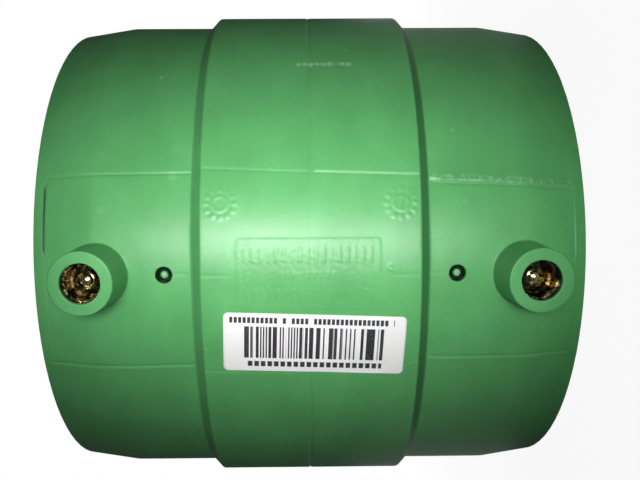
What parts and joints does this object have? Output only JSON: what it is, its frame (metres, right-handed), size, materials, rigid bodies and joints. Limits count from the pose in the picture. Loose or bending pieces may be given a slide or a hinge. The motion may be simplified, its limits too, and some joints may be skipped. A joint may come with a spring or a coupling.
{
  "type": "electrofusion coupler",
  "caption": "Moulded plastic sleeve that welds pipe ends together, with a wire winding inside each socket, shrouded brass contact pins, a thicker middle band and a printed label.",
  "frame": {"origin": "on the axis of the joined pipes, in the middle of the pipe stop, which is the middle of the coupler", "axes": "+Z along the pipes' axis, up as the coupler stands on its lower mouth; -Y out of the side that carries the terminals; +X to the right of that side as it is faced"},
  "size_m": [0.16, 0.1696, 0.1474],
  "materials": {
    "body": "semi-gloss green polypropylene, moulded",
    "winding": "green polypropylene jacket over resistance wire",
    "pins": "turned, bright",
    "label": "white paper with black print"
  },
  "bodies": {
    "root": {"coupler_body": "body", "heating_winding": "winding", "lower_terminal_pin": "pins", "upper_terminal_pin": "pins", "data_label": "label"}
  },
  "joints": []
}
